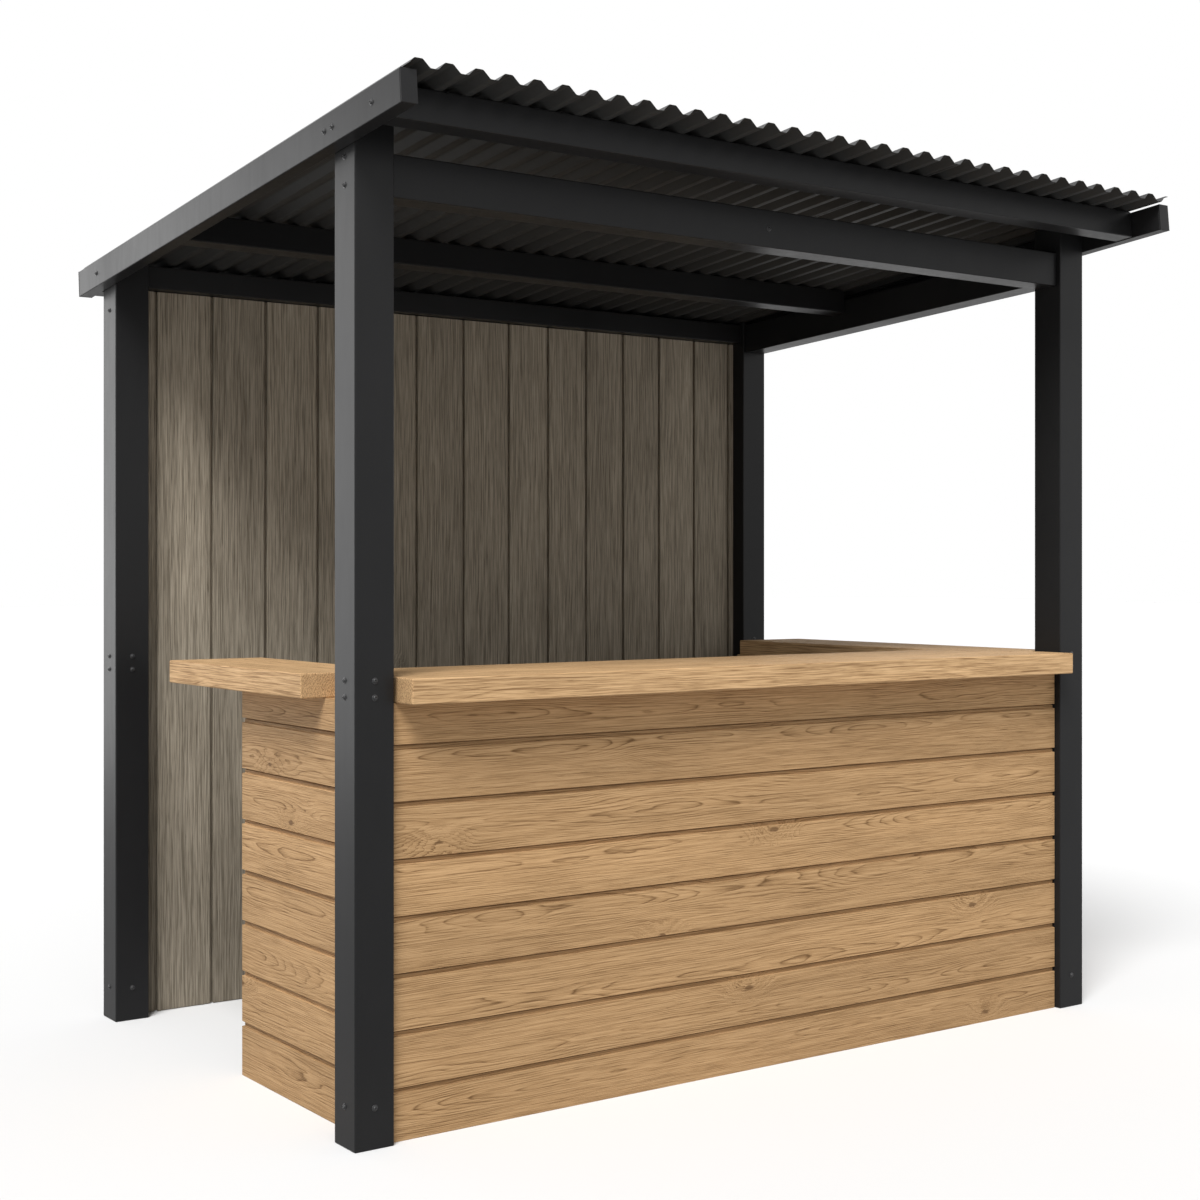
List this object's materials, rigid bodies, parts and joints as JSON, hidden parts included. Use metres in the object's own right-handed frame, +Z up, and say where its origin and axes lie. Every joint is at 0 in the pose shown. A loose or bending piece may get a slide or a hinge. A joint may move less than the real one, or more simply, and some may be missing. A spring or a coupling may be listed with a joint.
{
  "type": "garden bar",
  "caption": "Open garden bar with a dark steel post frame, a ribbed mono-pitch roof, an oak counter on the front and sides, and a boarded back wall.",
  "frame": {"origin": "centre of the footprint of the whole bar at ground level, midway between the edges of the roof sheets front to back and between the rafters side to side", "axes": "+X along the front counter to the right as seen from the front, +Y from the front towards the back wall, +Z up"},
  "size_m": [2.539, 1.9682, 2.3821],
  "materials": {
    "steel_frame": "satin black powder coat",
    "roof_sheet": "matt black coated ribbed sheet",
    "wall_boards": "weathered grey-brown boards, matt",
    "cladding_boards": "oak boards, matt",
    "worktop_oak": "oiled solid oak, satin",
    "framing_timber": "planed softwood, matt"
  },
  "bodies": {
    "root": {"post_front_left": "steel_frame", "post_front_right": "steel_frame", "post_back_left": "steel_frame", "post_back_right": "steel_frame", "header": "steel_frame", "back_beam": "steel_frame", "side_beam": "steel_frame", "rafter_left": "steel_frame", "rafter_right": "steel_frame", "rafter_caps_left": "steel_frame", "rafter_caps_right": "steel_frame", "rafter_bolts_left": "steel_frame", "rafter_bolts_right": "steel_frame", "purlin_front": "steel_frame", "purlin_middle": "steel_frame", "purlin_back": "steel_frame", "roof_sheet_left": "roof_sheet", "roof_sheet_middle": "roof_sheet", "roof_sheet_right": "roof_sheet", "back_wall": "wall_boards", "wall_rail_top": "framing_timber", "wall_rail_middle": "framing_timber", "wall_rail_bottom": "framing_timber", "cladding_front": "cladding_boards", "cladding_left": "cladding_boards", "cladding_right": "cladding_boards", "rail_top_front": "framing_timber", "rail_top_left": "framing_timber", "rail_top_right": "framing_timber", "rail_bottom_front": "framing_timber", "rail_bottom_left": "framing_timber", "rail_bottom_right": "framing_timber", "studs_front": "framing_timber", "studs_left": "framing_timber", "studs_right": "framing_timber", "worktop_front": "worktop_oak", "worktop_left": "worktop_oak", "worktop_right": "worktop_oak", "brackets_front": "steel_frame", "brackets_left": "steel_frame", "brackets_right": "steel_frame"}
  },
  "joints": []
}
